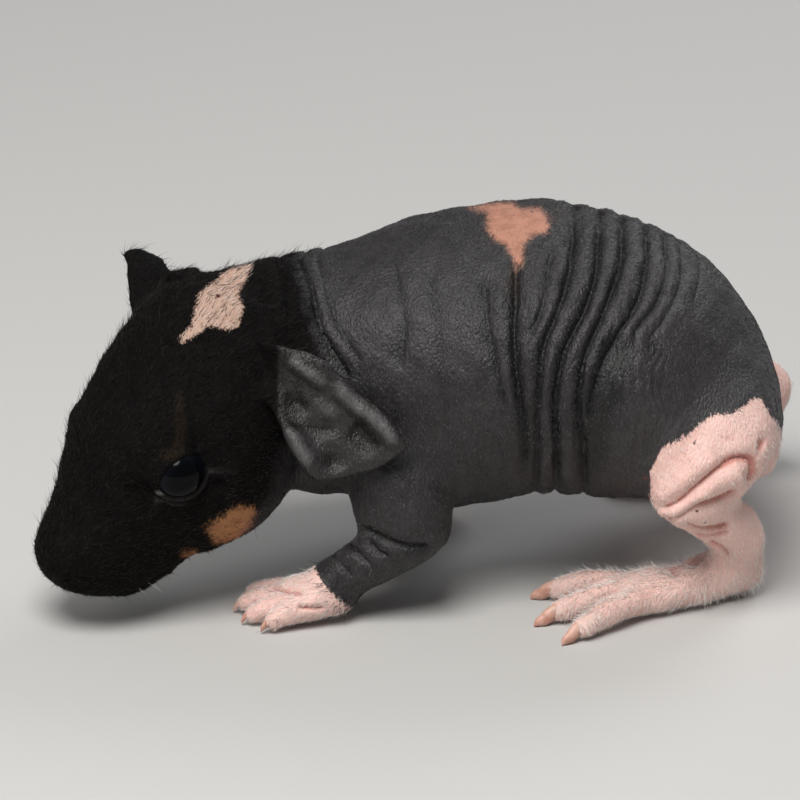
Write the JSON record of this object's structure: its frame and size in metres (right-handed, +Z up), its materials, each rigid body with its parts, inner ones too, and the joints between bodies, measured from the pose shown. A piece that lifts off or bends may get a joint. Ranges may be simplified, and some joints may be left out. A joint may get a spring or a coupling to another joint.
{
  "type": "skinny pig (hairless guinea pig), young pup",
  "caption": "Hairless guinea pig pup, a still life-size model standing with its head lowered and turned to its left.",
  "frame": {"origin": "on the floor, under the middle of the pup's box", "axes": "+X towards the rump, +Y to the pup's right side, +Z up"},
  "size_m": [0.0992, 0.0658, 0.0495],
  "materials": {
    "dark_skin": "satin, fine pebbled skin",
    "head_skin": "matt, very short fuzz",
    "pink_skin": "soft satin",
    "eye": "wet gloss",
    "claw": "translucent satin"
  },
  "bodies": {
    "root": {"ear_left": "head_skin", "ear_right": "head_skin", "eye_left": "eye", "eye_right": "eye", "flank": "dark_skin", "fore_claw_left_1": "claw", "fore_claw_left_2": "claw", "fore_claw_left_3": "claw", "fore_claw_left_4": "claw", "fore_claw_right_1": "claw", "fore_claw_right_2": "claw", "fore_claw_right_3": "claw", "fore_claw_right_4": "claw", "forearm_left": "dark_skin", "forearm_right": "dark_skin", "forefoot_left": "pink_skin", "forefoot_right": "pink_skin", "head": "head_skin", "hind_claw_left_1": "claw", "hind_claw_left_2": "claw", "hind_claw_left_3": "claw", "hind_claw_right_1": "claw", "hind_claw_right_2": "claw", "hind_claw_right_3": "claw", "hindfoot_left": "pink_skin", "hindfoot_right": "pink_skin", "neck": "dark_skin", "rump": "dark_skin", "shank_left": "pink_skin", "shank_right": "pink_skin", "shoulders": "dark_skin", "thigh_left": "dark_skin", "thigh_right": "dark_skin", "upper_arm_left": "dark_skin", "upper_arm_right": "dark_skin"}
  },
  "joints": []
}
